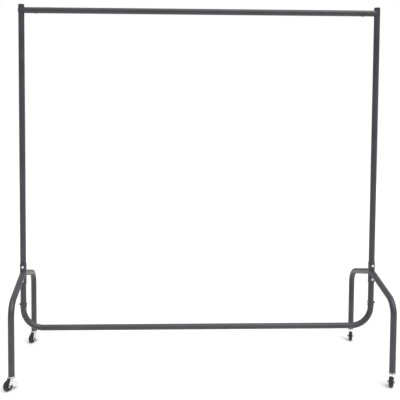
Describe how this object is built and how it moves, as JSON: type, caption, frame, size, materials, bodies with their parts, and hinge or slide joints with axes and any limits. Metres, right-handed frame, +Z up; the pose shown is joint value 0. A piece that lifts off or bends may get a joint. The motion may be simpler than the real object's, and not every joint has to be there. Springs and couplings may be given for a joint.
{
  "type": "rolling clothes rack",
  "caption": "Tall rectangular clothes rack of round black tube with a top hanging rail, a low rail bent up at its ends, arched end legs and swivel castors.",
  "frame": {"origin": "on the floor, midway between the two uprights and midway between the front and rear feet", "axes": "+X along the rails towards the right end, +Y to the back, +Z up"},
  "size_m": [1.8629, 0.6998, 1.83],
  "materials": {
    "frame_paint": "satin powder coat with a fine texture",
    "zinc_plate": "bright zinc plate",
    "black_plastic": "matt moulded",
    "wheel_plastic": "matt moulded",
    "tyre_rubber": "matt rubber with light wear"
  },
  "bodies": {
    "frame": {"hanging_rail": "frame_paint", "bottom_rail": "frame_paint", "left_upright": "frame_paint", "right_upright": "frame_paint", "left_stub": "frame_paint", "right_stub": "frame_paint", "left_sleeve": "frame_paint", "right_sleeve": "frame_paint", "front_left_leg": "frame_paint", "rear_left_leg": "frame_paint", "front_right_leg": "frame_paint", "rear_right_leg": "frame_paint", "left_cap": "black_plastic", "right_cap": "black_plastic", "sleeve_bolts": "zinc_plate", "sleeve_nuts": "zinc_plate", "joint_bolts": "zinc_plate", "joint_nuts": "zinc_plate", "rail_screws": "zinc_plate", "saddle_washers": "black_plastic", "front_left_socket": "black_plastic", "front_left_stem": "zinc_plate", "rear_left_socket": "black_plastic", "rear_left_stem": "zinc_plate", "front_right_socket": "black_plastic", "front_right_stem": "zinc_plate", "rear_right_socket": "black_plastic", "rear_right_stem": "zinc_plate"},
    "front_left_castor": {"front_left_fork": "zinc_plate", "front_left_balls": "zinc_plate", "front_left_axle": "zinc_plate", "front_left_axle_nut": "zinc_plate", "front_left_brake_pin": "zinc_plate"},
    "front_left_wheel": {"front_left_wheel": "wheel_plastic", "front_left_tyre": "tyre_rubber"},
    "front_left_pedal": {"front_left_brake_pedal": "zinc_plate"},
    "rear_left_castor": {"rear_left_fork": "zinc_plate", "rear_left_balls": "zinc_plate", "rear_left_axle": "zinc_plate", "rear_left_axle_nut": "zinc_plate", "rear_left_brake_pin": "zinc_plate"},
    "rear_left_wheel": {"rear_left_wheel": "wheel_plastic", "rear_left_tyre": "tyre_rubber"},
    "rear_left_pedal": {"rear_left_brake_pedal": "zinc_plate"},
    "front_right_castor": {"front_right_fork": "zinc_plate", "front_right_balls": "zinc_plate", "front_right_axle": "zinc_plate", "front_right_axle_nut": "zinc_plate"},
    "front_right_wheel": {"front_right_wheel": "wheel_plastic", "front_right_tyre": "tyre_rubber"},
    "rear_right_castor": {"rear_right_fork": "zinc_plate", "rear_right_balls": "zinc_plate", "rear_right_axle": "zinc_plate", "rear_right_axle_nut": "zinc_plate"},
    "rear_right_wheel": {"rear_right_wheel": "wheel_plastic", "rear_right_tyre": "tyre_rubber"}
  },
  "joints": [
    {"name": "front_left_swivel", "type": "hinge", "parent": "frame", "child": "front_left_castor", "pos_m": [-0.9, -0.31, 0.0592], "axis": [0, 0, 1], "continuous": true},
    {"name": "front_left_wheel_spin", "type": "hinge", "parent": "front_left_castor", "child": "front_left_wheel", "pos_m": [-0.91293, -0.3278, 0.025], "axis": [-0.809, 0.5878, 0], "continuous": true},
    {"name": "front_left_brake_press", "type": "hinge", "parent": "front_left_castor", "child": "front_left_pedal", "pos_m": [-0.90119, -0.31164, 0.04897], "axis": [-0.809, 0.5878, 0], "range_deg": [0, 12]},
    {"name": "rear_left_swivel", "type": "hinge", "parent": "frame", "child": "rear_left_castor", "pos_m": [-0.9, 0.31, 0.0592], "axis": [0, 0, 1], "continuous": true},
    {"name": "rear_left_wheel_spin", "type": "hinge", "parent": "rear_left_castor", "child": "rear_left_wheel", "pos_m": [-0.90824, 0.2896, 0.025], "axis": [-0.9272, 0.3746, 0], "continuous": true},
    {"name": "rear_left_brake_press", "type": "hinge", "parent": "rear_left_castor", "child": "rear_left_pedal", "pos_m": [-0.90076, 0.30812, 0.04897], "axis": [-0.9272, 0.3746, 0], "range_deg": [0, 12]},
    {"name": "front_right_swivel", "type": "hinge", "parent": "frame", "child": "front_right_castor", "pos_m": [0.9, -0.31, 0.0592], "axis": [0, 0, 1], "continuous": true},
    {"name": "front_right_wheel_spin", "type": "hinge", "parent": "front_right_castor", "child": "front_right_wheel", "pos_m": [0.88867, -0.32886, 0.025], "axis": [-0.8572, 0.515, 0], "continuous": true},
    {"name": "rear_right_swivel", "type": "hinge", "parent": "frame", "child": "rear_right_castor", "pos_m": [0.9, 0.31, 0.0592], "axis": [0, 0, 1], "continuous": true},
    {"name": "rear_right_wheel_spin", "type": "hinge", "parent": "rear_right_castor", "child": "rear_right_wheel", "pos_m": [0.89284, 0.2892, 0.025], "axis": [-0.9455, 0.3256, 0], "continuous": true}
  ]
}
